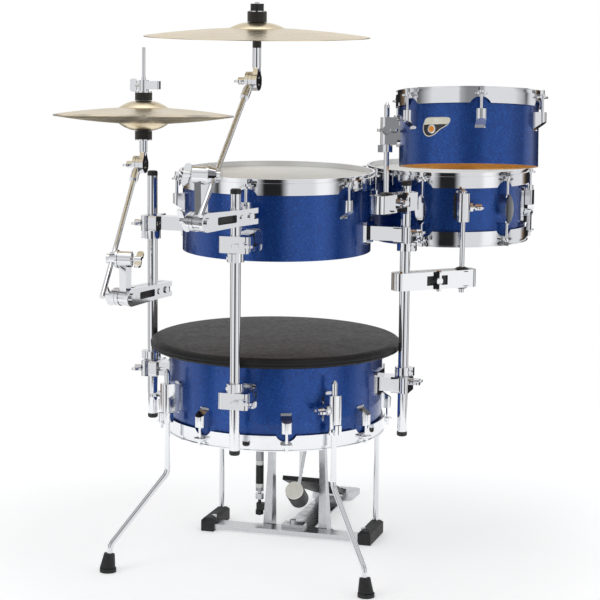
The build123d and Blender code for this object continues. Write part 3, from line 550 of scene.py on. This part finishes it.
# black ball seats where the tom and snare rods stand in their clamps
BALL_R, HOLE_R = 21.7, 5.6
for name, rod_node, clamp_node, axis in (("snare_ball", "snare_arm", "snare_clamp", (0, 0, 1)),
                                         ("tom_ball", "tom_arm", "tom_clamp", TOM_AXIS)):
    z = axis_of(clamp_node).z
    rod_mid = axis_of(rod_node)
    d = Vector(axis)
    seat = rod_mid + d * ((z - rod_mid.z) / d.z)
    for tag, sgn in (("upper", 1), ("lower", -1)):
        arc = [math.radians(v) for v in range(37, 74, 6)]
        dome = [(HOLE_R, sgn * 13.0), *((BALL_R * math.cos(t), sgn * BALL_R * math.sin(t)) for t in arc),
                (HOLE_R, sgn * 20.9)]
        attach(lathe(name + "_" + tag, dome, PLASTIC, seat, d, 48), "rack")

# ---------------------------------------------------------------- stage
FLOOR_R, RIM, SINK = 1.5, 96, 0.0006       # a disc in metres, its corners, and how far under the feet it lies
paper_floor = Mat("paper_floor", (0.93, 0.93, 0.93), 0.9)
# painted light: the floor glows, weaker near the kit and stronger further out
reach = paper_floor.vec("LENGTH", paper_floor.vec("SUBTRACT", paper_floor.coord, tuple(AXIS)))
glow = paper_floor.ramp(paper_floor.math("MULTIPLY", reach, 0.25), (0.12, 0.38), (0.36, 0.58))
paper_floor.put(paper_floor.out.inputs["Emission Strength"], glow)
paper_floor.out.inputs["Emission Color"].default_value = (1, 1, 1, 1)
turns = [TAU * k / RIM for k in range(RIM)]
rim = [kit(0, 0, 0) + Vector((FLOOR_R * math.cos(t), FLOOR_R * math.sin(t), -SINK)) for t in turns]
stage_floor = new_object("stage_floor", rim, [tuple(range(RIM))], paper_floor.mat, False)


def area(name, place, target, size, power, size_y=None, mirrored=False):
    """A soft light; the chrome shows it only when it is mirrored."""
    data = bpy.data.lights.new(name, "AREA")
    data.energy, data.size = power, size
    if size_y:
        data.shape, data.size_y = "RECTANGLE", size_y
    obj = bpy.data.objects.new(name, data)
    bpy.context.scene.collection.objects.link(obj)
    obj.location = place
    obj.rotation_euler = (Vector(target) - Vector(place)).to_track_quat("-Z", "Y").to_euler()
    obj.visible_glossy = mirrored


mid = kit(0, 0, 550)
away = Vector((-math.sin(YAW), math.cos(YAW), 0))


def spot(x, y, z):
    return mid + right * x + away * y + Vector((0, 0, z))


area("key_left", spot(-2.6, -2.4, 1.9), mid, 1.6, 26, size_y=2.2)
area("fill_right", spot(2.9, -1.8, 0.7), mid, 1.2, 12, size_y=2.6)
area("top_box", spot(0.0, 0.2, 2.9), mid, 2.6, 24, mirrored=True)
area("rim_back", spot(0.5, 2.8, 1.9), mid, 2.2, 4, size_y=1.2)

world = bpy.data.worlds.new("studio")
bpy.context.scene.world = world
world.use_nodes = True
studio = Tree(world.node_tree)
studio.nt.nodes.clear()

view = studio.node("ShaderNodeSeparateXYZ")
studio.put(view.inputs[0], studio.node("ShaderNodeTexCoord").outputs["Generated"])


def along(direction):
    """How far the ray points along a level direction."""
    return studio.math("ADD", studio.math("MULTIPLY", view.outputs[0], direction.x),
                       studio.math("MULTIPLY", view.outputs[1], direction.y))


def background(color, strength):
    n = studio.node("ShaderNodeBackground")
    studio.put(n.inputs["Color"], color)
    studio.put(n.inputs["Strength"], strength)
    return n.outputs[0]


def choose(test, no, yes):
    n = studio.node("ShaderNodeMixShader")
    for socket, value in zip(n.inputs, (test, no, yes)):
        studio.put(socket, value)
    return n.outputs[0]


# the studio that the chrome mirrors: white walls, a dark gap where the camera stands, dark flags at the sides
az = studio.math("ARCTAN2", along(right), along(-away))
turn = studio.math("ADD", studio.math("MULTIPLY", az, 1 / TAU), 0.5)    # 0.5 looks back at the camera
BRIGHT, WHITE, GREY = (1.2, 1.2, 1.2), (0.92, 0.92, 0.93), (0.50, 0.50, 0.51)
SHADE, DARK, BROWN = (0.30, 0.30, 0.31), (0.02, 0.02, 0.022), (0.22, 0.15, 0.09)
below = studio.ramp(
    turn, (0.0, DARK), (0.10, DARK), (0.14, BROWN), (0.17, WHITE), (0.25, WHITE), (0.27, GREY), (0.30, DARK),
    (0.315, WHITE), (0.335, BRIGHT), (0.365, BRIGHT), (0.385, WHITE), (0.43, WHITE), (0.460, DARK),
    (0.515, DARK), (0.540, WHITE), (0.62, WHITE), (0.64, BRIGHT), (0.67, BRIGHT), (0.69, WHITE), (0.72, DARK),
    (0.76, GREY), (0.78, WHITE), (0.84, WHITE), (0.865, BROWN), (0.89, DARK), (1.0, DARK))
above = studio.ramp(
    turn, (0.0, WHITE), (0.12, WHITE), (0.20, GREY), (0.24, DARK), (0.28, GREY), (0.32, WHITE), (0.44, WHITE),
    (0.45, GREY), (0.48, SHADE), (0.52, SHADE), (0.55, GREY), (0.56, WHITE), (0.70, WHITE), (0.75, GREY),
    (0.77, DARK), (0.80, WHITE))
height = studio.ramp(
    view.outputs[2], (0.0, (0.95, 0.95, 0.95)), (0.30, (1, 1, 1)), (0.45, (0.84, 0.83, 0.82)),
    (0.60, (0.60, 0.59, 0.58)), (0.75, (1, 1, 1)))
HORIZON, EDGE = 0.02, 20.0              # where the upper bands take over from the lower, and how sharply
upper = studio.math("MULTIPLY", studio.math("ADD", view.outputs[2], -HORIZON), EDGE)
mirror = background(studio.mix(1.0, studio.mix(upper, below, above), height, "MULTIPLY"), 0.985)
paper = background((1, 1, 1, 1), 1.0)
soft = background((0.95, 0.97, 1, 1), 0.40)
ray = studio.node("ShaderNodeLightPath")
seen = choose(ray.outputs["Is Camera Ray"], choose(ray.outputs["Is Glossy Ray"], soft, mirror), paper)
studio.put(studio.node("ShaderNodeOutputWorld").inputs[0], seen)
bpy.context.scene.view_settings.view_transform = "Standard"
